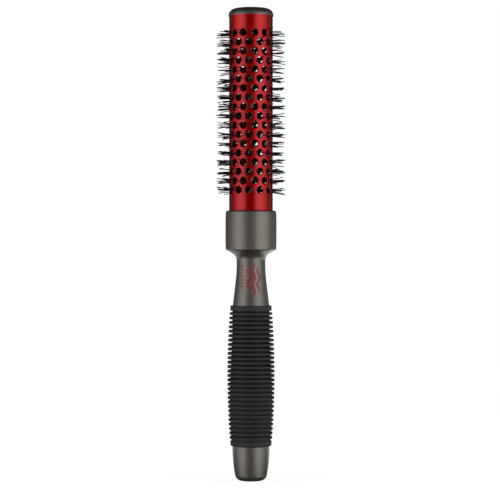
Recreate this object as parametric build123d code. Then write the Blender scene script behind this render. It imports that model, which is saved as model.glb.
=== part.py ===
from build123d import *

import math
import os

# Vented round thermal hairbrush, 270 mm long, with a 25 mm barrel.
#
# The frame is in millimetres. The brush stands on its butt: the origin is the centre of the flat foot, and +Z
# runs up the brush's own axis to the tip. Bearings are measured from the front, which is -Y, towards +X.
#
# A twisted-in-wire brush runs up the middle: two steel wires twisted together, right-handed, hold the nylon
# filaments. It stands inside a perforated, coated aluminium barrel, and the filaments reach out through the
# vents. The barrel plugs into the collar of a moulded handle, and a domed cap closes its tip. The handle is
# hollow below the neck. A ribbed rubber sleeve is stretched over its stem, and a cap closes its lower end.

# Heights of the seams, from the flat foot up.
BUTT_TOP = 19.8
GRIP_TOP = 100.0
COLLAR_BOTTOM = 131.4
COLLAR_TOP = 154.2
BARREL_TOP = 265.3
BRUSH_TOP = 270.3

# Fits between the pieces: radial clearance of a plugged part, and the gap between faces that meet.
PLUG_FIT = 0.05
FACE_GAP = 0.02

# Barrel: a thin tube, pierced by rings of vents. Each ring is half a step round from the one below.
BARREL_RADIUS = 12.5
BARREL_BORE = 11.7
VENT_RADIUS = 2.0
VENTS_PER_RING = 12
VENT_STEP = 360 / VENTS_PER_RING
VENT_RINGS = 18
VENT_PITCH = 5.25
FIRST_VENT_HEIGHT = 165.8
FIRST_VENT_BEARING = -5.4

# Twisted wires: wire a faces the front at the lowest ring of vents, and the twist drifts against the rings
# from there up.
WIRE_RADIUS = 0.95
WIRE_HELIX_RADIUS = 0.96
WIRE_PITCH = 11.85
WIRE_BOTTOM = 113.0
WIRE_TOP = 263.0
WIRE_SOCKET_RADIUS = 2.0

# Nylon tufts, one to a vent, from beside the wires to the trimmed tips.
TUFT_ROOT = 2.0
TUFT_TIP = 19.3
TUFT_ROOT_RADIUS = 0.42
TUFT_TIP_RADIUS = 1.15

# Handle moulding. The neck narrows from its foot to a straight waist, and a cove flares out from there to the
# collar. The collar is widest along its middle and drafts in to both lips.
STEM_RADIUS = 9.4
STEM_BORE = 6.8
STEM_BORE_TOP = 96.0
NECK_FOOT_RADIUS = 10.45
NECK_RADIUS = 8.2
NECK_BEND = 118.8
NECK_BEND_REACH = 5.0
COVE_BOTTOM = 125.6
COVE_RADIUS = 4.9
COVE_SLOPE = 30.0
COLLAR_RADIUS = 14.6
COLLAR_LIP_RADIUS = 14.45
COLLAR_DRAFT_HEIGHT = 5.0
COLLAR_EDGE = 1.1
SOCKET_DEPTH = 16.0
SOCKET_FLOOR = COLLAR_TOP - SOCKET_DEPTH
SOCKET_CHAMFER = 0.3
WIRE_SOCKET_BOTTOM = 112.0

# Grip sleeve: two flanges and a row of ribs, on a tube that swells gently about its middle. The grooves are
# shallow on the lower half and deepen towards the neck, until they reach the thinnest wall allowed.
RIB_COUNT = 29
RIB_FIRST = 24.6
RIB_LAST = 95.4
RIB_CROWN_RADIUS = 13.52
RIB_END_RADIUS = 12.2
RIB_TIP_HEIGHT = 1.45
RIB_TIP_EDGE = 0.4
RIB_ROOT_HEIGHT = 1.7
GROOVE_SHALLOW = 1.0
GROOVE_DEEP = 2.3
GROOVE_CHANGE_LOW = 38.0
GROOVE_CHANGE_HIGH = 74.0
GROOVE_LEAST_RADIUS = 10.65
FLANGE_RADIUS = 11.82
FLANGE_HEIGHT = 2.85
TOP_FLANGE_EDGE = 0.4
BOTTOM_FLANGE_EDGE = 1.0

# Butt cap: its side is a shallow arc, and a tighter one turns under to the foot.
BUTT_RADIUS = 10.67
BUTT_SIDE_ARC = 90.0
BUTT_CORNER = 3.7
BUTT_FLOOR = 2.2
BUTT_CAVITY = 6.6
BUTT_CAVITY_TOP = 15.0
BUTT_SPIGOT_BORE = 5.2
BUTT_SPIGOT_TOP = 32.0

# Tip cap: a flanged dome with a spigot in the barrel and a hub that takes the ends of the wires.
TIP_RADIUS = 12.85
TIP_BAND = 0.5
TIP_CORNER = 3.8
TIP_SPIGOT = 6.0
TIP_SPIGOT_BORE = 10.2
TIP_ROOF = 266.6
HUB_RADIUS = 3.6
TIP_HUB_BOTTOM = 257.6
TIP_SOCKET_TOP = 263.6

# Plug that centres the wires in the foot of the barrel.
PLUG_TOP = 152.0
PLUG_BORE = 10.2
PLUG_FLOOR = 2.0
PLUG_RIBS = 4
PLUG_RIB_THICKNESS = 1.2


def turned(outline):
    """The solid made by turning a closed outline of edges, in (radius, height), about Z."""
    return revolve(Plane.XZ * make_face(outline), Axis.Z)


def ring(outer, inner, bottom, top):
    """A plain tube about Z."""
    height = top - bottom
    centre = Pos(0, 0, bottom + height / 2)
    return centre * Cylinder(outer, height) - centre * Cylinder(inner, height)


def on_arc(centre, radius, degrees):
    """Point on a circle, at an angle from the +radius direction."""
    angle = math.radians(degrees)
    return (centre[0] + radius * math.cos(angle), centre[1] + radius * math.sin(angle))


def vent_height(ring_number):
    return FIRST_VENT_HEIGHT + VENT_PITCH * ring_number


def vent_bearing(ring_number, vent_number):
    """Bearing of a vent in degrees. Odd rings sit half a step on from even ones."""
    stagger = VENT_STEP / 2 if ring_number % 2 else 0
    return FIRST_VENT_BEARING + stagger + VENT_STEP * vent_number


def outward(bearing, height):
    """Plane on the axis whose normal points outwards at a bearing."""
    angle = math.radians(bearing)
    return Plane(origin=(0, 0, height), x_dir=(0, 0, 1), z_dir=(math.sin(angle), -math.cos(angle), 0))


def collar_outline():
    """Outside of the collar from its upper lip down to the top of the cove."""
    lip = COLLAR_LIP_RADIUS - COLLAR_EDGE
    upper_edge = TangentArc(
        (lip, COLLAR_TOP), (COLLAR_LIP_RADIUS, COLLAR_TOP - COLLAR_EDGE), tangent=(1, 0)
    )
    side = Polyline(
        (COLLAR_LIP_RADIUS, COLLAR_TOP - COLLAR_EDGE),
        (COLLAR_RADIUS, COLLAR_TOP - COLLAR_DRAFT_HEIGHT),
        (COLLAR_RADIUS, COLLAR_BOTTOM + COLLAR_DRAFT_HEIGHT),
        (COLLAR_LIP_RADIUS, COLLAR_BOTTOM + COLLAR_EDGE),
    )
    lower_edge = TangentArc(
        (COLLAR_LIP_RADIUS, COLLAR_BOTTOM + COLLAR_EDGE), (lip, COLLAR_BOTTOM), tangent=(0, -1)
    )
    return upper_edge + side + lower_edge


def neck_outline():
    """Outside of the neck from the foot of the collar down to the top of the grip."""
    slope = (NECK_FOOT_RADIUS - NECK_RADIUS) / (NECK_BEND - GRIP_TOP)
    cove_top = on_arc((NECK_RADIUS + COVE_RADIUS, COVE_BOTTOM), COVE_RADIUS, 90 + COVE_SLOPE)
    waist_top = (NECK_RADIUS, COVE_BOTTOM)
    waist_bottom = (NECK_RADIUS, NECK_BEND + NECK_BEND_REACH)
    taper_top = (NECK_RADIUS + slope * NECK_BEND_REACH, NECK_BEND - NECK_BEND_REACH)
    underside = Line((COLLAR_LIP_RADIUS - COLLAR_EDGE, COLLAR_BOTTOM), cove_top)
    cove = TangentArc(waist_top, cove_top, tangent=(0, 1))
    waist = Line(waist_top, waist_bottom)
    bend = TangentArc(waist_bottom, taper_top, tangent=(0, -1))
    taper = Line(taper_top, (NECK_FOOT_RADIUS, GRIP_TOP))
    return underside + cove + waist + bend + taper


def handle_body():
    """Collar, neck and hollow stem in one moulding, with sockets for the barrel and the wires."""
    socket_radius = BARREL_RADIUS + PLUG_FIT
    inside = Polyline(
        (NECK_FOOT_RADIUS, GRIP_TOP),
        (STEM_RADIUS, GRIP_TOP),
        (STEM_RADIUS, BUTT_TOP + FACE_GAP),
        (STEM_BORE, BUTT_TOP + FACE_GAP),
        (STEM_BORE, STEM_BORE_TOP),
        (0, STEM_BORE_TOP),
        (0, WIRE_SOCKET_BOTTOM),
        (WIRE_SOCKET_RADIUS, WIRE_SOCKET_BOTTOM),
        (WIRE_SOCKET_RADIUS, SOCKET_FLOOR),
        (socket_radius, SOCKET_FLOOR),
        (socket_radius, COLLAR_TOP - SOCKET_CHAMFER),
        (socket_radius + SOCKET_CHAMFER, COLLAR_TOP),
        (COLLAR_LIP_RADIUS - COLLAR_EDGE, COLLAR_TOP),
    )
    return turned(inside + collar_outline() + neck_outline())


def butt_cap():
    """Rounded, hollow lower end of the handle, with a flat foot and a spigot up the stem's bore."""
    arc_step = BUTT_SIDE_ARC - BUTT_CORNER
    lean = math.asin((BUTT_TOP - BUTT_CORNER) / arc_step)
    foot = BUTT_RADIUS - BUTT_SIDE_ARC + arc_step * math.cos(lean)
    shoulder = on_arc((foot, BUTT_CORNER), BUTT_CORNER, -math.degrees(lean))
    side = TangentArc((BUTT_RADIUS, BUTT_TOP), shoulder, tangent=(0, -1))
    corner = TangentArc((foot, 0), shoulder, tangent=(1, 0))
    spigot_radius = STEM_BORE - PLUG_FIT
    inside = Polyline(
        (foot, 0),
        (0, 0),
        (0, BUTT_FLOOR),
        (BUTT_CAVITY - 2, BUTT_FLOOR),
        (BUTT_CAVITY, BUTT_FLOOR + 2),
        (BUTT_CAVITY, BUTT_CAVITY_TOP),
        (BUTT_SPIGOT_BORE, BUTT_CAVITY_TOP + 2),
        (BUTT_SPIGOT_BORE, BUTT_SPIGOT_TOP),
        (spigot_radius - 0.5, BUTT_SPIGOT_TOP),
        (spigot_radius, BUTT_SPIGOT_TOP - 1),
        (spigot_radius, BUTT_TOP),
        (BUTT_RADIUS, BUTT_TOP),
    )
    return turned(side + corner + inside)


def rib_tip(height):
    """Radius of a rib at a height: the largest is mid-way between the outermost ribs."""
    middle = (RIB_FIRST + RIB_LAST) / 2
    reach = (height - middle) / (RIB_LAST - middle)
    return RIB_CROWN_RADIUS - (RIB_CROWN_RADIUS - RIB_END_RADIUS) * reach**2


def rib_root(height):
    """Radius of the grooves beside the rib at a height."""
    rise = (height - GROOVE_CHANGE_LOW) / (GROOVE_CHANGE_HIGH - GROOVE_CHANGE_LOW)
    rise = min(max(rise, 0), 1)
    depth = GROOVE_SHALLOW + (GROOVE_DEEP - GROOVE_SHALLOW) * rise**2 * (3 - 2 * rise)
    return max(GROOVE_LEAST_RADIUS, rib_tip(height) - depth)


def rib_foot(height):
    """Lower corner of the root of the rib at a height."""
    return (rib_root(height), height - RIB_ROOT_HEIGHT / 2)


def rib_outline(height, above):
    """Outside of one rib, from its lower root to its upper root, and on up the groove to `above`."""
    tip = rib_tip(height)
    low, high = height - RIB_TIP_HEIGHT / 2, height + RIB_TIP_HEIGHT / 2
    low_edge, low_side = (tip - RIB_TIP_EDGE, low), (tip, low + RIB_TIP_EDGE)
    high_edge, high_side = (tip - RIB_TIP_EDGE, high), (tip, high - RIB_TIP_EDGE)
    high_root = (rib_root(height), height + RIB_ROOT_HEIGHT / 2)
    outline = Line(rib_foot(height), low_edge) + TangentArc(low_edge, low_side, tangent=(1, 0))
    outline += Line(low_side, high_side) + TangentArc(high_side, high_edge, tangent=(0, 1))
    return outline + Polyline(high_edge, high_root, above)


def grip_sleeve():
    """Ribbed rubber sleeve over the stem, with a flange at each end."""
    bore = STEM_RADIUS + FACE_GAP
    bottom = BUTT_TOP + FACE_GAP
    top = GRIP_TOP - FACE_GAP
    pitch = (RIB_LAST - RIB_FIRST) / (RIB_COUNT - 1)
    heights = [RIB_FIRST + pitch * number for number in range(RIB_COUNT)]
    feet = [rib_foot(height) for height in heights]
    low_edge = (FLANGE_RADIUS - BOTTOM_FLANGE_EDGE, bottom)
    low_side = (FLANGE_RADIUS, bottom + BOTTOM_FLANGE_EDGE)
    high_edge = (FLANGE_RADIUS - TOP_FLANGE_EDGE, top)
    high_side = (FLANGE_RADIUS, top - TOP_FLANGE_EDGE)
    top_groove = (rib_root(RIB_LAST), top - FLANGE_HEIGHT)
    low_groove = (rib_root(RIB_FIRST), bottom + FLANGE_HEIGHT)
    outline = Polyline(high_edge, (bore, top), (bore, bottom), low_edge)
    outline += TangentArc(low_edge, low_side, tangent=(1, 0))
    outline += Polyline(low_side, (FLANGE_RADIUS, bottom + FLANGE_HEIGHT), low_groove, feet[0])
    for height, above in zip(heights, feet[1:] + [top_groove]):
        outline += rib_outline(height, above)
    outline += Polyline(top_groove, (FLANGE_RADIUS, top - FLANGE_HEIGHT), high_side)
    outline += TangentArc(high_side, high_edge, tangent=(0, 1))
    return turned(outline)


def barrel():
    """Perforated tube. One cutter makes two opposite vents, because each ring holds an even number."""
    tube = ring(BARREL_RADIUS, BARREL_BORE, SOCKET_FLOOR + FACE_GAP, BARREL_TOP - FACE_GAP)
    cutters = [
        outward(vent_bearing(ring_number, vent_number), vent_height(ring_number))
        * Cylinder(VENT_RADIUS, 3 * BARREL_RADIUS)
        for ring_number in range(VENT_RINGS)
        for vent_number in range(VENTS_PER_RING // 2)
    ]
    return tube - cutters


def barrel_plug():
    """Cup in the foot of the barrel: a wall, a floor, and a ribbed hub that the wires pass through."""
    bottom = SOCKET_FLOOR + FACE_GAP
    wall = BARREL_BORE - PLUG_FIT
    cup = ring(wall, PLUG_BORE, bottom, PLUG_TOP) + ring(wall, HUB_RADIUS - 1, bottom, bottom + PLUG_FLOOR)
    height = PLUG_TOP - bottom
    web = Pos(0, 0, bottom + height / 2) * Box(2 * PLUG_BORE + 1, PLUG_RIB_THICKNESS, height)
    for number in range(PLUG_RIBS // 2):
        cup += Rot(0, 0, 360 / PLUG_RIBS * number) * web
    hub = Pos(0, 0, bottom + height / 2) * Cylinder(HUB_RADIUS, height)
    bore = Pos(0, 0, bottom + height / 2) * Cylinder(WIRE_SOCKET_RADIUS, 2 * height)
    return cup + hub - bore


def tip_cap():
    """Domed cap over the end of the barrel. The dome runs tangent into the rounded corner."""
    spigot_radius = BARREL_BORE - PLUG_FIT
    corner_centre = (TIP_RADIUS - TIP_CORNER, BARREL_TOP + TIP_BAND)
    drop = BRUSH_TOP - corner_centre[1]
    dome_radius = (corner_centre[0] ** 2 + drop**2 - TIP_CORNER**2) / (2 * (drop - TIP_CORNER))
    lean = math.asin(corner_centre[0] / (dome_radius - TIP_CORNER))
    corner_top = on_arc(corner_centre, TIP_CORNER, 90 - math.degrees(lean))
    dome = TangentArc((0, BRUSH_TOP), corner_top, tangent=(1, 0))
    corner = TangentArc((TIP_RADIUS, corner_centre[1]), corner_top, tangent=(0, 1))
    inside = Polyline(
        (TIP_RADIUS, corner_centre[1]),
        (TIP_RADIUS, BARREL_TOP),
        (spigot_radius, BARREL_TOP),
        (spigot_radius, BARREL_TOP - TIP_SPIGOT + 1),
        (spigot_radius - 0.5, BARREL_TOP - TIP_SPIGOT),
        (TIP_SPIGOT_BORE, BARREL_TOP - TIP_SPIGOT),
        (TIP_SPIGOT_BORE, TIP_ROOF - 1),
        (TIP_SPIGOT_BORE - 1, TIP_ROOF),
        (HUB_RADIUS, TIP_ROOF),
        (HUB_RADIUS, TIP_HUB_BOTTOM),
        (WIRE_SOCKET_RADIUS, TIP_HUB_BOTTOM),
        (WIRE_SOCKET_RADIUS, TIP_SOCKET_TOP),
        (0, TIP_SOCKET_TOP),
        (0, BRUSH_TOP),
    )
    return turned(dome + corner + inside)


def core_wire(side):
    """One of the twisted pair. At the lowest ring of vents side 0 faces the front, and side 1 the back."""
    height = WIRE_TOP - WIRE_BOTTOM
    helix = Helix(pitch=WIRE_PITCH, height=height, radius=WIRE_HELIX_RADIUS)
    section = Plane(origin=helix @ 0, z_dir=helix % 0) * Circle(WIRE_RADIUS)
    wire = sweep(section, path=helix, is_frenet=True)
    turns_to_first_ring = (FIRST_VENT_HEIGHT - WIRE_BOTTOM) / WIRE_PITCH
    start_angle = -90 - 360 * turns_to_first_ring + 180 * side
    return Pos(0, 0, WIRE_BOTTOM) * Rot(0, 0, start_angle) * wire


def tuft():
    """One bundle of filaments, standing along +Z from the origin."""
    length = TUFT_TIP - TUFT_ROOT
    return Pos(0, 0, TUFT_ROOT + length / 2) * Cone(TUFT_ROOT_RADIUS, TUFT_TIP_RADIUS, length)


def tuft_ring(ring_number):
    """The tufts that reach out through one ring of vents."""
    height = vent_height(ring_number)
    places = [outward(vent_bearing(ring_number, number), height) for number in range(VENTS_PER_RING)]
    one = tuft()
    return Compound(children=[(place * one).solid() for place in places])


def pieces():
    """Every separate piece of the brush by node name."""
    found = {
        "handle_body": handle_body(),
        "butt_cap": butt_cap(),
        "grip_sleeve": grip_sleeve(),
        "barrel": barrel(),
        "barrel_plug": barrel_plug(),
        "tip_cap": tip_cap(),
        "core_wire_a": core_wire(0),
        "core_wire_b": core_wire(1),
    }
    for ring_number in range(VENT_RINGS):
        found[f"bristle_ring_{ring_number + 1:02d}"] = tuft_ring(ring_number)
    return found


os.makedirs("parts", exist_ok=True)
for name, shape in pieces().items():
    export_step(shape, f"parts/{name}.step")
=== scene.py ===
"""Looks for a vented round hairbrush: a red perforated barrel round a twisted-in-wire nylon brush,
a gunmetal handle and a ribbed rubber grip. It stands upright on its butt, with +Z up the brush.

Lengths are metres. A bearing is an angle round the brush in degrees, 0 at the front (-Y) and growing
towards +X.
"""

import math
import random

import bpy
import numpy as np
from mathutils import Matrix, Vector


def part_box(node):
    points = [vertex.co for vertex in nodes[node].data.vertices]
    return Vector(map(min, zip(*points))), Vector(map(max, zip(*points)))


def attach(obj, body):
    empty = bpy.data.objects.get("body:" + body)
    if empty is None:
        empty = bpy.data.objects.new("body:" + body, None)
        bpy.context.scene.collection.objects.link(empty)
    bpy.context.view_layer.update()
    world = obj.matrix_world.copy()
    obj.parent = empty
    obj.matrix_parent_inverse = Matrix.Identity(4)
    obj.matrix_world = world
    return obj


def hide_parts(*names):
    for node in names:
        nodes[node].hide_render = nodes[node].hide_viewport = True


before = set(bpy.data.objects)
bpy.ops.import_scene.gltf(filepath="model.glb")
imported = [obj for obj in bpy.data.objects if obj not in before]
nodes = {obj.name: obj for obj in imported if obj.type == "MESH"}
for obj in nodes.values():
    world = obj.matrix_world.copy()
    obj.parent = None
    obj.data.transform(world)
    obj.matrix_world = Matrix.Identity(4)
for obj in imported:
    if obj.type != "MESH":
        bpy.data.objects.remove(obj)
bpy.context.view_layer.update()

MM = 0.001
random.seed(41)

# Barrel sheet, read off the frame
barrel_low, barrel_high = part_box("barrel")
BARREL_RADIUS = barrel_high.x
BARREL_BOTTOM = barrel_low.z
BARREL_TOP = barrel_high.z
WALL = 0.8 * MM
BORE_EDGE = BARREL_RADIUS - 0.75 * WALL  # faces wholly inside this radius belong to the bore

# Vents, staggered from ring to ring
VENTS_PER_RING = 12
VENT_RADIUS = 2.0 * MM
VENT_LIP = 0.5 * MM  # width of the rolled edge of a vent
LIP_DROP = 0.3 * MM  # depth of that edge
LIP_TURNS = range(0, 91, 15)  # degrees round that edge at which it has a row of points
FIRST_BEARING = -5.4
EDGE_PARTS = 5  # segments along each of the six edges of a vent's cell
END_ROWS = 6  # rows of faces in the plain band at each end of the tube
END_START = 0.8  # where those rows start, in ring pitches from the last ring of vents

RING_NODES = sorted(name for name in nodes if name.startswith("bristle_ring_"))
RING_HEIGHTS = [(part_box(name)[0].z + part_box(name)[1].z) / 2 for name in RING_NODES]
RING_PITCH = (RING_HEIGHTS[-1] - RING_HEIGHTS[0]) / (len(RING_HEIGHTS) - 1)
ARC_STEP = math.radians(360 / VENTS_PER_RING) * BARREL_RADIUS
ARC_ZERO = math.radians(FIRST_BEARING) * BARREL_RADIUS

# Nylon filaments, held between the two twisted wires
WIRE_PITCH = 11.85 * MM  # height of one full turn of the wires
ROOT_RADIUS = 0.9 * MM  # where a filament leaves them
TIP_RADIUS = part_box(RING_NODES[0])[1].x
FILAMENT_RADIUS = 0.265 * MM
FILAMENT_WIDTHS = (0.88, 1.1)  # least and most, as shares of that radius
TIP_TAPER = 0.8  # share of its width that a filament has at its tip
FILAMENTS_PER_TURN = 48
FILAMENT_SIDES = 6
SKEW = (0.13, 0.21, 0.97)  # a direction that no filament runs along

# How the filaments vary
GATE_CLEARANCE = 1.4  # filament radii kept between a filament's line and the edge of its vent
GATE_SHARES = (0.45, 0.95)  # least and most of the free radius of its vent that a filament may use
SPREAD = 0.14  # slope of a filament that leaves at the top or bottom edge of its vent
SPREAD_SCATTER = 0.045  # slope
BEARING_SCATTER = 3.0
TIP_EXCESS = 0.1 * MM  # how far past TIP_RADIUS the mean filament reaches
TIP_SCATTER = 0.25 * MM
CURL = 0.25 * MM  # how far a tip strays from a straight line
SHORT_SHARE = 0.14  # share of the filaments that are cut short
SHORT_CUTS = (0.4 * MM, 2.2 * MM)
DOUBLE_SHARE = 0.18  # share of the places on the fuller left side that hold two filaments
DOUBLE_BEYOND = -0.6  # how far to the left, in barrel radii, that side starts
THIN_SHARE = 0.5  # share of the filaments missing to the right of the front and back
THIN_BETWEEN = (0.2, 0.8)  # the part thinned, in barrel radii to the right

# Printed heat mark on the neck: (place round the front, low end, high end) of each wavy line
HEAT_LINES = (
    (-1.2 * MM, 108.0 * MM, 122.2 * MM),
    (1.6 * MM, 106.0 * MM, 124.2 * MM),
    (4.4 * MM, 108.0 * MM, 122.2 * MM),
)
HEAT_ROWS = 64
HEAT_WIDTH = 1.5 * MM
HEAT_END = 0.3  # share of that width left at a line's ends
HEAT_ROUNDING = 0.35  # power that rounds those ends
HEAT_SWAY = 0.75 * MM
HEAT_WAVE = 8.0 * MM  # height of one wave
INK_PROUD = 0.03 * MM
INK_SUNK = -0.5 * INK_PROUD

# A column of short printed dashes beside it
DASH_COUNT = 8
DASH_PLACE = -5.3 * MM  # round the front
DASH_LOW = 109.0 * MM
DASH_HIGH = 122.6 * MM
DASH_WIDTH = 1.8 * MM
DASH_HEIGHT = 0.8 * MM
DASH_SIDES = 16
DASH_ROUNDING = 0.6  # power that squares a dash off, 1 being an oval
DASH_FLAT = 0.8  # share of a dash's width and height that is raised flat

# Upright soft boxes: name, (azimuth, distance) of each side, radiance, share faded at each side
SOFT_BOXES = (
    ("key_right", (11, 1.0), (109, 0.6), 1.3, (0.5, 0.5)),
    ("key_left", (-17, 1.0), (-112, 0.6), 1.3, (0.6, 0.5)),
    ("edge_right", (114, 0.6), (130, 0.6), 0.32, (0.3, 0.3)),
    ("back_right", (152, 0.9), (176, 0.9), 0.22, (0.2, 0.2)),
    ("edge_left", (-114, 0.6), (-130, 0.6), 0.2, (0.3, 0.3)),
    ("back_left", (-152, 0.9), (-176, 0.9), 0.22, (0.2, 0.2)),
)
BOX_LOW = -0.25
BOX_HIGH = 0.44

# Glowing table to either side, behind the brush: name, side, radiance
TABLES = (("table_right", 1, 1.15), ("table_left", -1, 0.65))
TABLE_NEAR, TABLE_FAR = 0.045, 0.7
TABLE_FRONT, TABLE_BACK = 0.1, 0.9
TABLE_DROP = 10 * MM

# Room, floor and camera
ROOM_GREY = 0.04
BACKDROP_GREY = 1.0
FLOOR_SIZE = 40.0
FLOOR_DROP = 0.2 * MM  # keeps the floor clear of the flat foot of the brush
CAMERA_PLACE = (-0.00056, -1.024, 0.13175)
CAMERA_LENS = 128.9
CAMERA_SENSOR = 36


# ---------------------------------------------------------------- mesh helpers


def outward(bearing):
    """Unit vector that points away from the axis at a bearing in degrees."""
    angle = math.radians(bearing)
    return np.array((math.sin(angle), -math.cos(angle), 0.0))


def mesh_piece(name, points, faces, material, replaces=(), sharp=40):
    """A piece that rides on the brush, smooth but for edges that turn by more than sharp degrees."""
    mesh = bpy.data.meshes.new(name)
    mesh.from_pydata([tuple(p) for p in points], [], faces)
    mesh.validate()
    piece = bpy.data.objects.new(name, mesh)
    bpy.context.scene.collection.objects.link(piece)
    mesh.materials.append(material)
    mesh.shade_smooth()
    mesh.set_sharp_from_angle(angle=math.radians(sharp))
    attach(piece, "root")
    if replaces:
        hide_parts(*replaces)
    return piece


def welded(points, faces, grid=1e-7):
    """The same surface with one point at each place, so that its shading runs across the seams."""
    index, kept, new = {}, [], []
    for p in points:
        key = tuple(round(c / grid) for c in p)
        if key not in index:
            index[key] = len(kept)
            kept.append(p)
        new.append(index[key])
    return kept, [tuple(new[i] for i in face) for face in faces]


def rounded(value, power):
    """A sine or cosine raised to a power with its sign kept: powers under 1 square a circle off."""
    return math.copysign(abs(value) ** power, value)


# ---------------------------------------------------------------- barrel


def cell_outline():
    """The hexagon of sheet that belongs to one vent, anticlockwise from its top, in equal parts."""
    half = math.pi * BARREL_RADIUS / VENTS_PER_RING
    side = (RING_PITCH**2 - half**2) / (2 * RING_PITCH)
    peak = (RING_PITCH**2 + half**2) / (2 * RING_PITCH)
    corners = [(0, peak), (-half, side), (-half, -side), (0, -peak), (half, -side), (half, side)]
    outline = []
    for (x0, z0), (x1, z1) in zip(corners, corners[1:] + corners[:1]):
        for part in range(EDGE_PARTS):
            t = part / EDGE_PARTS
            outline.append((x0 + (x1 - x0) * t, z0 + (z1 - z0) * t))
    return outline


def cell_loops():
    """(radius, depth) of each loop of points from the cell's edge, over the lip and to the bore."""
    loops = [(None, 0.0)]
    for turn in LIP_TURNS:
        rise, run = math.sin(math.radians(turn)), math.cos(math.radians(turn))
        loops.append((VENT_RADIUS + VENT_LIP * (1 - rise), LIP_DROP * (1 - run)))
    return loops + [(VENT_RADIUS, WALL), (None, WALL)]


def barrel_point(arc, height, depth):
    """A point of the sheet, from its length round the outside, its height and its depth."""
    bearing = math.degrees(arc / BARREL_RADIUS)
    x, y, _ = outward(bearing) * (BARREL_RADIUS - depth)
    return (x, y, height)


def add_vent(points, faces, arc, height, outline, loops):
    """One vent in its cell of sheet. A loop with no radius runs along the cell's edge."""
    start, count = len(points), len(outline)
    for radius, depth in loops:
        for x, z in outline:
            reach = 1.0 if radius is None else radius / math.hypot(x, z)
            points.append(barrel_point(arc + x * reach, height + z * reach, depth))
    for loop in range(len(loops) - 1):
        for k in range(count):
            a = start + loop * count + k
            b = start + loop * count + (k + 1) % count
            faces.append((a, b, b + count, a + count))


def add_end(points, faces, arc, height, outline, up):
    """The plain band from the cell of a vent in an end ring to the end of the tube, and its rim."""
    end = BARREL_TOP if up else BARREL_BOTTOM
    first = height + math.copysign(END_START * RING_PITCH, end - height)
    levels = [first + (end - first) * k / END_ROWS for k in range(END_ROWS + 1)]

    def quad(*corners):
        start = len(points)
        points.extend(corners)
        faces.append((start, start + 1, start + 2, start + 3))

    for k in range(-EDGE_PARTS, EDGE_PARTS) if up else range(2 * EDGE_PARTS, 4 * EDGE_PARTS):
        (xa, za), (xb, zb) = outline[k % len(outline)], outline[(k + 1) % len(outline)]
        column = [(height + za, height + zb)] + [(z, z) for z in levels]
        for depth in (0.0, WALL):
            for (az, bz), (cz, dz) in zip(column, column[1:]):
                corners = [
                    barrel_point(arc + xa, az, depth),
                    barrel_point(arc + xa, cz, depth),
                    barrel_point(arc + xb, dz, depth),
                    barrel_point(arc + xb, bz, depth),
                ]
                quad(*(corners[::-1] if depth else corners))
        quad(
            barrel_point(arc + xa, end, 0.0),
            barrel_point(arc + xa, end, WALL),
            barrel_point(arc + xb, end, WALL),
            barrel_point(arc + xb, end, 0.0),
        )


def build_barrel(material, inside):
    """The perforated tube: a staggered sheet of vents, rolled up, with plain bands at both ends."""
    outline, loops = cell_outline(), cell_loops()
    points, faces = [], []
    for ring, height in enumerate(RING_HEIGHTS):
        for vent in range(VENTS_PER_RING):
            arc = ARC_ZERO + ARC_STEP * (vent + 0.5 * (ring % 2))
            add_vent(points, faces, arc, height, outline, loops)
            if ring in (0, len(RING_HEIGHTS) - 1):
                add_end(points, faces, arc, height, outline, ring > 0)
    points, faces = welded(points, faces)
    piece = mesh_piece("vented_barrel", points, faces, material, ("barrel",))
    # The faces of the bore take a second material, painted near black for the shade inside the tube.
    piece.data.materials.append(inside)
    for face in piece.data.polygons:
        corners = [piece.data.vertices[v].co.xy for v in face.vertices]
        if all(math.hypot(*corner) < BORE_EDGE for corner in corners):
            face.material_index = 1


# ---------------------------------------------------------------- filaments


def nearest_vent(arc, height):
    """(ring, arc, height) of the vent whose centre is closest to a place on the unrolled sheet."""
    best = None
    for ring, ring_height in enumerate(RING_HEIGHTS):
        if abs(ring_height - height) > 1.2 * RING_PITCH:
            continue
        shift = ARC_ZERO + 0.5 * ARC_STEP * (ring % 2)
        centre = shift + ARC_STEP * round((arc - shift) / ARC_STEP)
        distance = math.hypot(centre - arc, ring_height - height)
        if best is None or distance < best[0]:
            best = (distance, ring, centre, ring_height)
    return best[1:] if best else None


def filament_path(height, bearing, vent_arc, vent_height):
    """The line of one filament: clamped level in the wires, bent to pass its vent, then straight."""
    root = outward(bearing) * ROOT_RADIUS + np.array((0, 0, height))
    level = outward(bearing) * (BARREL_RADIUS - ROOT_RADIUS)
    off_arc = math.radians(bearing) * BARREL_RADIUS - vent_arc
    off_height = random.uniform(-1, 1) * VENT_RADIUS
    off = math.hypot(off_arc, off_height)
    free = (VENT_RADIUS - GATE_CLEARANCE * FILAMENT_RADIUS) * random.uniform(*GATE_SHARES)
    keep = min(1.0, free / max(off, 1e-9))
    off_arc, off_height = off_arc * keep, off_height * keep
    gate = np.array(barrel_point(vent_arc + off_arc, vent_height + off_height, 0.0))
    bend = gate - root - level
    path = []
    for s in (0.0, 0.2, 0.4, 0.6, 0.8, 1.0):
        path.append(root + level * s + bend * (3 * s * s - s**3) / 2)
    slope = off_height / VENT_RADIUS * SPREAD + random.gauss(0, SPREAD_SCATTER)
    gate_bearing = math.degrees((vent_arc + off_arc) / BARREL_RADIUS)
    heading = outward(gate_bearing + random.gauss(0, BEARING_SCATTER))
    heading = heading + np.array((0, 0, slope))
    heading /= np.linalg.norm(heading)
    reach = TIP_RADIUS - BARREL_RADIUS + random.gauss(TIP_EXCESS, TIP_SCATTER)
    if random.random() < SHORT_SHARE:
        reach -= random.uniform(*SHORT_CUTS)
    curl = np.array([random.gauss(0, 1) for _ in range(3)]) * CURL
    for s in (0.25, 0.5, 0.75, 1.0):
        path.append(gate + heading * reach * s + curl * s * s)
    return path


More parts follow.
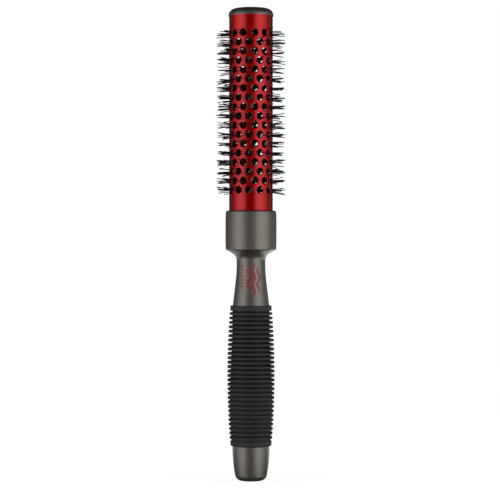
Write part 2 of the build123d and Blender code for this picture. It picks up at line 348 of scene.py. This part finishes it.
def tube(path, radii):
    """Points and faces of a closed round tube along a path."""
    path = np.array(path)
    along = np.gradient(path, axis=0)
    along /= np.linalg.norm(along, axis=1)[:, None]
    side = np.cross(along, SKEW)
    side /= np.linalg.norm(side, axis=1)[:, None]
    other = np.cross(along, side)
    points = []
    for p, radius, s, o in zip(path, radii, side, other):
        for k in range(FILAMENT_SIDES):
            turn = 2 * math.pi * k / FILAMENT_SIDES
            points.append(p + radius * (math.cos(turn) * s + math.sin(turn) * o))
    faces = []
    for row in range(len(path) - 1):
        for k in range(FILAMENT_SIDES):
            a = row * FILAMENT_SIDES + k
            b = row * FILAMENT_SIDES + (k + 1) % FILAMENT_SIDES
            faces.append((a, b, b + FILAMENT_SIDES, a + FILAMENT_SIDES))
    faces.append(tuple(range(FILAMENT_SIDES))[::-1])
    last = (len(path) - 1) * FILAMENT_SIDES
    faces.append(tuple(range(last, last + FILAMENT_SIDES)))
    return points, faces


def filament_starts():
    """(height, bearing, how many, vent) of each place between the wires, up their double spiral."""
    turns = (RING_HEIGHTS[-1] - RING_HEIGHTS[0] + RING_PITCH) / WIRE_PITCH
    start = RING_HEIGHTS[0] - RING_PITCH / 2
    for k in range(round(turns * FILAMENTS_PER_TURN)):
        for hand in (90, -90):
            height = start + (k + random.uniform(0.1, 0.9)) / FILAMENTS_PER_TURN * WIRE_PITCH
            bearing = 360 * (height - RING_HEIGHTS[0]) / WIRE_PITCH + hand
            right = outward(bearing)[0]
            vent = nearest_vent(math.radians(bearing) * BARREL_RADIUS, height)
            thin = THIN_BETWEEN[0] < right < THIN_BETWEEN[1] and random.random() < THIN_SHARE
            if thin or not vent:
                continue
            double = right < DOUBLE_BEYOND and random.random() < DOUBLE_SHARE
            yield height, bearing, 2 if double else 1, vent


def build_filaments(material):
    """One piece per ring of vents: every filament end that leaves through that ring."""
    rings = [([], []) for _ in RING_NODES]
    for height, bearing, amount, (ring, vent_arc, vent_height) in filament_starts():
        for _ in range(amount):
            path = filament_path(height, bearing, vent_arc, vent_height)
            width = FILAMENT_RADIUS * random.uniform(*FILAMENT_WIDTHS)
            points, faces = tube(path, [width] * (len(path) - 1) + [TIP_TAPER * width])
            ring_points, ring_faces = rings[ring]
            first = len(ring_points)
            ring_points.extend(points)
            ring_faces.extend(tuple(i + first for i in face) for face in faces)
    for name, (points, faces) in zip(RING_NODES, rings):
        number = name.rsplit("_", 1)[1]
        mesh_piece(f"filaments_{number}", points, faces, material, (name,), 60)


# ---------------------------------------------------------------- printed mark


def neck_radius(height, bearing=0):
    """Radius of the handle at a height and bearing, measured on the frame's own mesh."""
    away = Vector(outward(bearing))
    start = away + Vector((0, 0, height))
    hit, place, _, _ = nodes["handle_body"].ray_cast(start, -away)
    return math.hypot(place.x, place.y) if hit else 0.0


def neck_point(across, height, lift):
    """A point over the neck's surface, from its length round the front, its height and its lift."""
    bearing = math.degrees(across / neck_radius(height))
    x, y, _ = outward(bearing) * (neck_radius(height, bearing) + lift)
    return (x, y, height)


def build_heat_mark(material):
    """Three plain wavy lines that rise up the neck: a printed sign for heat, a little proud."""
    sides = (-1, -0.5, 0, 0.5, 1)
    count = len(sides)
    wave_start = HEAT_LINES[1][1]
    for number, (offset, low, high) in enumerate(HEAT_LINES):
        points, faces = [], []
        for k in range(HEAT_ROWS + 1):
            t = k / HEAT_ROWS
            height = low + (high - low) * t
            sway = HEAT_SWAY * math.sin(2 * math.pi * (height - wave_start) / HEAT_WAVE)
            swell = HEAT_END + (1 - HEAT_END) * math.sin(math.pi * t) ** HEAT_ROUNDING
            for side in sides:
                across = offset + sway + side * HEAT_WIDTH / 2 * swell
                lift = INK_PROUD if abs(side) < 1 else INK_SUNK
                points.append(neck_point(across, height, lift))
        for k in range(HEAT_ROWS):
            for side in range(count - 1):
                a = count * k + side
                faces.append((a, a + 1, a + count + 1, a + count))
        mesh_piece(f"heat_mark_{number + 1}", points, faces, material, (), 80)


def build_dashes(material):
    """The column of dashes, each a small rounded bar laid level round the neck."""
    points, faces = [], []
    for number in range(DASH_COUNT):
        middle = DASH_LOW + (DASH_HIGH - DASH_LOW) * number / (DASH_COUNT - 1)
        first = len(points)
        for reach, lift in ((DASH_FLAT, INK_PROUD), (1.0, INK_SUNK)):
            for k in range(DASH_SIDES):
                turn = 2 * math.pi * k / DASH_SIDES
                across = DASH_WIDTH / 2 * reach * rounded(math.cos(turn), DASH_ROUNDING)
                rise = DASH_HEIGHT / 2 * reach * rounded(math.sin(turn), DASH_ROUNDING)
                points.append(neck_point(DASH_PLACE + across, middle + rise, lift))
        faces.append(tuple(range(first, first + DASH_SIDES)))
        for k in range(DASH_SIDES):
            a, b = first + k, first + (k + 1) % DASH_SIDES
            faces.append((a, a + DASH_SIDES, b + DASH_SIDES, b))
    mesh_piece("dash_column", points, faces, material, (), 80)


# ---------------------------------------------------------------- materials


def new_material(name, **inputs):
    """(material, node maker, shader) of a Principled material. Inputs are named with _ for spaces."""
    material = bpy.data.materials.new(name)
    material.use_nodes = True
    tree = material.node_tree
    shader = tree.nodes["Principled BSDF"]
    for key, value in inputs.items():
        shader.inputs[key.replace("_", " ")].default_value = value

    def node(kind, links=(), values=(), **settings):
        made = tree.nodes.new(kind)
        for key, value in settings.items():
            setattr(made, key, value)
        for key, value in dict(values).items():
            made.inputs[key].default_value = value
        for key, source in dict(links).items():
            tree.links.new(source, made.inputs[key])
        return made

    return material, node, shader


def link(material, source, target, key):
    """Feeds an output into the named or numbered input of a node."""
    material.node_tree.links.new(source, target.inputs[key])


def speckle(node, size, stretch=(1, 1, 1), detail=2.0):
    """A noise with grains of a size, stretched by a factor on each axis."""
    place = node("ShaderNodeTexCoord")
    grid = node(
        "ShaderNodeMapping",
        links={"Vector": place.outputs["Object"]},
        values={"Scale": tuple(1 / size / s for s in stretch)},
    )
    noise = node(
        "ShaderNodeTexNoise",
        links={"Vector": grid.outputs["Vector"]},
        values={"Scale": 1.0, "Detail": detail, "Roughness": 0.55},
    )
    return noise.outputs["Fac"]


def ramp(node, source, low, high, start=0.0, end=1.0):
    """source from start to end, mapped to low to high."""
    made = node(
        "ShaderNodeMapRange",
        links={"Value": source},
        values={"From Min": start, "From Max": end, "To Min": low, "To Max": high},
    )
    return made.outputs["Result"]


def tint(node, source, dark, light):
    """A colour between dark and light by source, 0 to 1."""
    ends = {"A": (*dark, 1), "B": (*light, 1)}
    made = node("ShaderNodeMix", data_type="RGBA", links={"Factor": source}, values=ends)
    return made.outputs["Result"]


def bump(node, source, height):
    """A normal from a relief of a height."""
    made = node("ShaderNodeBump", links={"Height": source}, values={"Distance": height})
    return made.outputs["Normal"]


def red_lacquer():
    """Clear-coated red anodised aluminium, darker towards the collar, with shade painted in towards
    black at a glancing angle.
    """
    material, node, shader = new_material(
        "red_lacquer", Metallic=1.0, Coat_Weight=0.75, Coat_Roughness=0.07, Coat_IOR=1.5
    )
    grain = speckle(node, 0.5 * MM, stretch=(1, 1, 6))
    place = node("ShaderNodeTexCoord")
    split = node("ShaderNodeSeparateXYZ", links={"Vector": place.outputs["Object"]})
    rise = ramp(node, split.outputs["Z"], 0.0, 0.6, start=BARREL_BOTTOM, end=BARREL_TOP)
    level = node("ShaderNodeMath", operation="ADD")
    link(material, rise, level, 0)
    link(material, ramp(node, grain, 0.0, 0.4), level, 1)
    shade = tint(node, level.outputs["Value"], (0.5, 0.0, 0.0015), (0.84, 0.001, 0.004))
    # Painted shade: the colour is mixed towards black where the surface turns away from the camera,
    # which darkens the barrel's rims.
    slant = node("ShaderNodeLayerWeight", values={"Blend": 0.5})
    depth = ramp(node, slant.outputs["Facing"], 0.0, 0.6, start=0.5, end=0.62)
    rim_painted_shade = node("ShaderNodeMix", data_type="RGBA", values={"B": (0.0, 0.0, 0.0, 1)})
    link(material, depth, rim_painted_shade, "Factor")
    link(material, shade, rim_painted_shade, "A")
    link(material, rim_painted_shade.outputs["Result"], shader, "Base Color")
    link(material, ramp(node, grain, 0.44, 0.52, start=0.3, end=0.7), shader, "Roughness")
    peel = speckle(node, 1.5 * MM)
    link(material, bump(node, peel, 0.004 * MM), shader, "Coat Normal")
    return material


def shaded_bore():
    """The dull bore of the barrel, its colour painted near black for the shade inside the tube, with
    a mottled tone.
    """
    material, node, shader = new_material("barrel_bore_painted_shade", Metallic=0.6)
    bore_mottle = speckle(node, 0.6 * MM)
    shade = tint(node, bore_mottle, (0.03, 0.004, 0.004), (0.07, 0.008, 0.008))
    link(material, shade, shader, "Base Color")
    link(material, ramp(node, bore_mottle, 0.5, 0.7), shader, "Roughness")
    return material


def gunmetal():
    """Satin metallic paint with fine flakes."""
    material, node, shader = new_material(
        "gunmetal_paint", Metallic=1.0, Coat_Weight=0.6, Coat_Roughness=0.22, Coat_IOR=1.5
    )
    flake = speckle(node, 0.32 * MM, stretch=(1, 1, 1.6), detail=3.0)
    level = ramp(node, flake, 0.0, 1.0, start=0.32, end=0.68)
    shade = tint(node, level, (0.18, 0.167, 0.146), (0.34, 0.314, 0.276))
    link(material, shade, shader, "Base Color")
    link(material, ramp(node, level, 0.44, 0.56), shader, "Roughness")
    link(material, bump(node, flake, 0.01 * MM), shader, "Normal")
    return material


def grip_rubber():
    """Matt black rubber with a fine grain; shade is painted into the grooves from ambient occlusion,
    so the rib crowns read paler.
    """
    material, node, shader = new_material("grip_rubber", Specular_IOR_Level=0.45)
    grain = speckle(node, 0.25 * MM, detail=4.0)
    # Painted shade: ambient occlusion darkens the colour in the grooves between the ribs.
    open_air = node("ShaderNodeAmbientOcclusion", values={"Distance": 1.6 * MM})
    open_air.samples = 8
    groove_painted_shade = ramp(node, open_air.outputs["AO"], 0.0, 1.0, start=0.35, end=0.95)
    mottle = ramp(node, grain, 0.72, 1.28, start=0.25, end=0.75)
    level = node("ShaderNodeMath", operation="MULTIPLY")
    link(material, groove_painted_shade, level, 0)
    link(material, mottle, level, 1)
    shade = tint(node, level.outputs["Value"], (0.006, 0.006, 0.0065), (0.05, 0.05, 0.051))
    link(material, shade, shader, "Base Color")
    link(material, ramp(node, grain, 0.5, 0.72, start=0.3, end=0.7), shader, "Roughness")
    link(material, bump(node, grain, 0.03 * MM), shader, "Normal")
    return material


def steel_wire():
    """Bright galvanised wire with drawing marks."""
    material, node, shader = new_material("steel_wire", Metallic=1.0)
    marks = speckle(node, 0.2 * MM, stretch=(1, 1, 5))
    link(material, tint(node, marks, (0.38, 0.34, 0.28), (0.72, 0.67, 0.58)), shader, "Base Color")
    link(material, ramp(node, marks, 0.25, 0.42), shader, "Roughness")
    return material


def black_nylon():
    """Slightly shiny black filament, a little lighter along some strands."""
    material, node, shader = new_material("black_nylon", Roughness=0.36)
    strand = speckle(node, 0.8 * MM)
    shade = tint(node, strand, (0.006, 0.005, 0.005), (0.022, 0.02, 0.019))
    link(material, shade, shader, "Base Color")
    return material


def red_ink():
    """Red pad-printed ink, slightly broken over the satin lacquer."""
    material, node, shader = new_material("red_ink", Roughness=0.45)
    level = ramp(node, speckle(node, 0.35 * MM), 0.0, 1.0, start=0.35, end=0.65)
    link(material, tint(node, level, (0.42, 0.03, 0.035), (0.68, 0.04, 0.05)), shader, "Base Color")
    return material


def black_plastic():
    """Moulded black plastic with a fine spark-eroded texture."""
    material, node, shader = new_material("black_plastic", Roughness=0.5)
    grain = speckle(node, 0.3 * MM)
    shade = tint(node, grain, (0.012, 0.012, 0.012), (0.022, 0.022, 0.022))
    link(material, shade, shader, "Base Color")
    link(material, bump(node, grain, 0.02 * MM), shader, "Normal")
    return material


def paint_node(name, material):
    """Gives a CAD node a finish through its object's own material slot."""
    piece = nodes[name]
    for place in piece.material_slots:
        place.link = "OBJECT"
        place.material = material


# ---------------------------------------------------------------- studio


def polar(azimuth, distance):
    """(x, y) at an azimuth in degrees from the front, towards +X, and a distance from the brush."""
    x, y, _ = outward(azimuth) * distance
    return (x, y)


def stage_sheet(name, corners):
    """(object, node tree) of a four-cornered sheet of the studio, with its material still empty."""
    mesh = bpy.data.meshes.new(name)
    mesh.from_pydata(corners, [], [(0, 1, 2, 3)])
    sheet = bpy.data.objects.new(name, mesh)
    bpy.context.scene.collection.objects.link(sheet)
    material = bpy.data.materials.new(name)
    material.use_nodes = True
    material.node_tree.nodes.clear()
    mesh.materials.append(material)
    return sheet, material.node_tree


def finish_surface(tree, shader):
    """Makes a shader node's output the surface of its material."""
    out = tree.nodes.new("ShaderNodeOutputMaterial")
    tree.links.new(shader.outputs[0], out.inputs["Surface"])


def light_only(panel):
    """Leaves a panel its light alone: the camera doesn't see it, and it throws no shadow."""
    panel.visible_camera = False
    panel.visible_shadow = False


def product(tree, first, second):
    """The output of first times second, an output or a number."""
    both = tree.nodes.new("ShaderNodeMath")
    both.operation = "MULTIPLY"
    tree.links.new(first, both.inputs[0])
    if isinstance(second, float):
        both.inputs[1].default_value = second
    else:
        tree.links.new(second, both.inputs[1])
    return both.outputs["Value"]


def soft_box(name, start, end, radiance, fade):
    """An upright glowing panel between two places, fading out over a share of it at each side."""
    corners = [(*start, BOX_LOW), (*end, BOX_LOW), (*end, BOX_HIGH), (*start, BOX_HIGH)]
    panel, tree = stage_sheet(name, corners)
    uv = panel.data.uv_layers.new(name="span")
    for loop, spot in zip(uv.data, ((0, 0), (1, 0), (1, 1), (0, 1))):
        loop.uv = spot
    place = tree.nodes.new("ShaderNodeUVMap")
    place.uv_map = "span"
    split = tree.nodes.new("ShaderNodeSeparateXYZ")
    tree.links.new(place.outputs["UV"], split.inputs["Vector"])
    edges = []
    for from_min, from_max in ((0.0, fade[0]), (1.0, 1.0 - fade[1])):
        edge = tree.nodes.new("ShaderNodeMapRange")
        edge.interpolation_type = "SMOOTHSTEP"
        edge.inputs["From Min"].default_value = from_min
        edge.inputs["From Max"].default_value = from_max
        tree.links.new(split.outputs["X"], edge.inputs["Value"])
        edges.append(edge.outputs["Result"])
    glow = tree.nodes.new("ShaderNodeEmission")
    level = product(tree, product(tree, *edges), radiance)
    tree.links.new(level, glow.inputs["Strength"])
    finish_surface(tree, glow)
    light_only(panel)


def build_lights():
    """A big soft box each side, and behind each a dim strip for the edges and one for the back."""
    for name, start, end, radiance, fade in SOFT_BOXES:
        soft_box(name, polar(*start), polar(*end), radiance, fade)


def build_table_glow():
    """Bright table to either side behind the brush, which lights the cove's sides from below."""
    for name, side, radiance in TABLES:
        near, far = TABLE_NEAR * side, TABLE_FAR * side
        places = ((near, TABLE_FRONT), (far, TABLE_FRONT), (far, TABLE_BACK), (near, TABLE_BACK))
        patch, tree = stage_sheet(name, [(x, y, -TABLE_DROP) for x, y in places])
        glow = tree.nodes.new("ShaderNodeEmission")
        glow.inputs["Strength"].default_value = radiance
        finish_surface(tree, glow)
        light_only(patch)


def build_world():
    """White behind the brush for the camera, and a dim room for everything else."""
    world = bpy.data.worlds.new("studio")
    bpy.context.scene.world = world
    world.use_nodes = True
    tree = world.node_tree
    tree.nodes.clear()
    rays = tree.nodes.new("ShaderNodeLightPath")
    shades = []
    for grey in (ROOM_GREY, BACKDROP_GREY):
        shade = tree.nodes.new("ShaderNodeBackground")
        shade.inputs["Color"].default_value = (grey, grey, grey, 1)
        shades.append(shade)
    mix = tree.nodes.new("ShaderNodeMixShader")
    tree.links.new(rays.outputs["Is Camera Ray"], mix.inputs[0])
    tree.links.new(shades[0].outputs[0], mix.inputs[1])
    tree.links.new(shades[1].outputs[0], mix.inputs[2])
    out = tree.nodes.new("ShaderNodeOutputWorld")
    tree.links.new(mix.outputs[0], out.inputs[0])


def build_floor():
    """A pale sweep under the brush that takes a faint shadow and is plain white further out."""
    places = ((-1, -1), (1, -1), (1, 1), (-1, 1))
    floor, tree = stage_sheet("floor", [(x * FLOOR_SIZE, y * FLOOR_SIZE, 0) for x, y in places])
    place = tree.nodes.new("ShaderNodeTexCoord")
    distance = tree.nodes.new("ShaderNodeVectorMath")
    distance.operation = "LENGTH"
    tree.links.new(place.outputs["Object"], distance.inputs[0])
    level = tree.nodes.new("ShaderNodeMapRange")
    level.interpolation_type = "SMOOTHSTEP"
    spans = {"From Min": 0.02, "From Max": 0.16, "To Min": 0.94, "To Max": 1.0}
    for key, value in spans.items():
        level.inputs[key].default_value = value
    tree.links.new(distance.outputs["Value"], level.inputs["Value"])
    paper = tree.nodes.new("ShaderNodeBsdfDiffuse")
    paper.inputs["Color"].default_value = (0.3, 0.3, 0.3, 1)
    glow = tree.nodes.new("ShaderNodeEmission")
    tree.links.new(level.outputs["Result"], glow.inputs["Strength"])
    both = tree.nodes.new("ShaderNodeAddShader")
    tree.links.new(paper.outputs[0], both.inputs[0])
    tree.links.new(glow.outputs[0], both.inputs[1])
    finish_surface(tree, both)
    floor.visible_glossy = False
    floor.visible_diffuse = False
    floor.visible_shadow = False
    floor.location.z = -FLOOR_DROP


def build_camera():
    """A long lens level with the lower edge of the collar, straight in front of the brush."""
    camera = bpy.data.cameras.new("camera")
    camera.lens = CAMERA_LENS
    camera.sensor_width = CAMERA_SENSOR
    place = bpy.data.objects.new("camera", camera)
    place.location = CAMERA_PLACE
    place.rotation_euler = (math.radians(90), 0, 0)
    bpy.context.scene.collection.objects.link(place)
    bpy.context.scene.camera = place
    bpy.context.scene.view_settings.view_transform = "Standard"


# ---------------------------------------------------------------- assembly

metal = gunmetal()
wire = steel_wire()
ink = red_ink()

paint_node("handle_body", metal)
paint_node("butt_cap", metal)
paint_node("tip_cap", metal)
paint_node("grip_sleeve", grip_rubber())
paint_node("barrel_plug", black_plastic())
paint_node("core_wire_a", wire)
paint_node("core_wire_b", wire)

build_barrel(red_lacquer(), shaded_bore())
build_filaments(black_nylon())
build_heat_mark(ink)
build_dashes(ink)

build_world()
build_lights()
build_table_glow()
build_floor()
build_camera()
